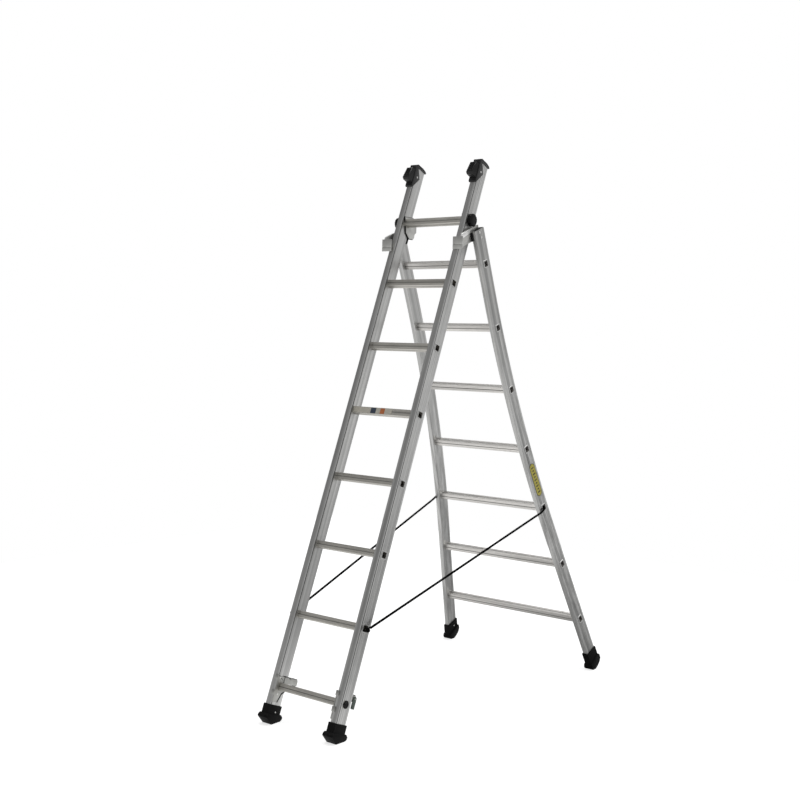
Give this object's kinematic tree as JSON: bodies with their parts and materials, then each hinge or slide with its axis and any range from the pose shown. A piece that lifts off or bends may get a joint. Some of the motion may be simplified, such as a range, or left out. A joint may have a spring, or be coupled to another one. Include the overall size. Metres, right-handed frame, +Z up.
{
  "type": "extension ladder",
  "caption": "Two-section aluminium extension ladder standing open as a step ladder, its wider base section flared at the bottom, with hooks and restraint cords.",
  "frame": {"origin": "on the floor, in the middle of the box around the open ladder", "axes": "+X along the rungs, +Y from the sliding section at the front to the base section at the rear, +Z up"},
  "size_m": [0.8284, 1.6219, 2.2206],
  "materials": {
    "stile": "mill-finish extrusion with fine lengthwise lines, satin",
    "rung": "ribbed extrusion, satin and slightly worn",
    "bracket": "pressed and cast fittings, matt",
    "cap_plastic": "moulded, fine grain",
    "knob_plastic": "moulded, satin",
    "pad_plastic": "moulded slide pad",
    "latch_plastic": "moulded, dark",
    "foot_rubber": "matt, dusty soles",
    "cord": "braided polyester cord"
  },
  "bodies": {
    "base_section": {"base_stile_right": "stile", "base_stile_left": "stile", "base_rung_1": "rung", "base_rung_2": "rung", "base_rung_3": "rung", "base_rung_4": "rung", "base_rung_5": "rung", "base_rung_6": "rung", "base_rung_7": "rung", "base_foot_right": "foot_rubber", "base_foot_left": "foot_rubber", "base_bracket_right": "bracket", "base_bracket_left": "bracket", "bracket_flange_right": "bracket", "bracket_flange_left": "bracket", "bracket_pad_right": "pad_plastic", "bracket_pad_left": "pad_plastic", "cord_right": "cord", "cord_left": "cord"},
    "guides": {"guide_shoe_right": "pad_plastic", "guide_shoe_left": "pad_plastic"},
    "sliding_section": {"fly_stile_right": "stile", "fly_stile_left": "stile", "fly_rung_1": "rung", "fly_rung_2": "rung", "fly_rung_3": "rung", "fly_rung_4": "rung", "fly_rung_5": "rung", "fly_rung_6": "rung", "fly_rung_7": "rung", "fly_rung_8": "rung", "fly_foot_right": "foot_rubber", "fly_foot_left": "foot_rubber", "top_cap_right": "cap_plastic", "top_cap_left": "cap_plastic", "pivot_knob_right": "knob_plastic", "pivot_knob_left": "knob_plastic", "apex_pad_right": "pad_plastic", "apex_pad_left": "pad_plastic", "apex_plate_right": "bracket", "apex_plate_left": "bracket", "rung_hook_right": "bracket", "rung_hook_left": "bracket", "rung_plug_right": "cap_plastic", "rung_plug_left": "cap_plastic", "cord_knot_right": "cord", "cord_knot_left": "cord"},
    "latch_right": {"hook_latch_right": "latch_plastic"},
    "latch_left": {"hook_latch_left": "latch_plastic"}
  },
  "joints": [
    {"name": "fold", "type": "hinge", "parent": "base_section", "child": "guides", "pos_m": [0, -0.02574, 1.89523], "axis": [1, 0, 0], "range_deg": [0, 43.4], "deforming": ["cord_right", "cord_left"]},
    {"name": "extension", "type": "slide", "parent": "guides", "child": "sliding_section", "axis": [0, 0.3567, 0.9342], "range_m": [0, 1.218]},
    {"name": "latch_swing_right", "type": "hinge", "parent": "sliding_section", "child": "latch_right", "pos_m": [0.1515, -0.64514, 0.12812], "axis": [1, 0, 0], "range_deg": [0, 60], "stiffness_Nm_per_rad": 0.03},
    {"name": "latch_swing_left", "type": "hinge", "parent": "sliding_section", "child": "latch_left", "pos_m": [-0.1515, -0.64514, 0.12812], "axis": [1, 0, 0], "range_deg": [0, 60], "stiffness_Nm_per_rad": 0.03}
  ]
}
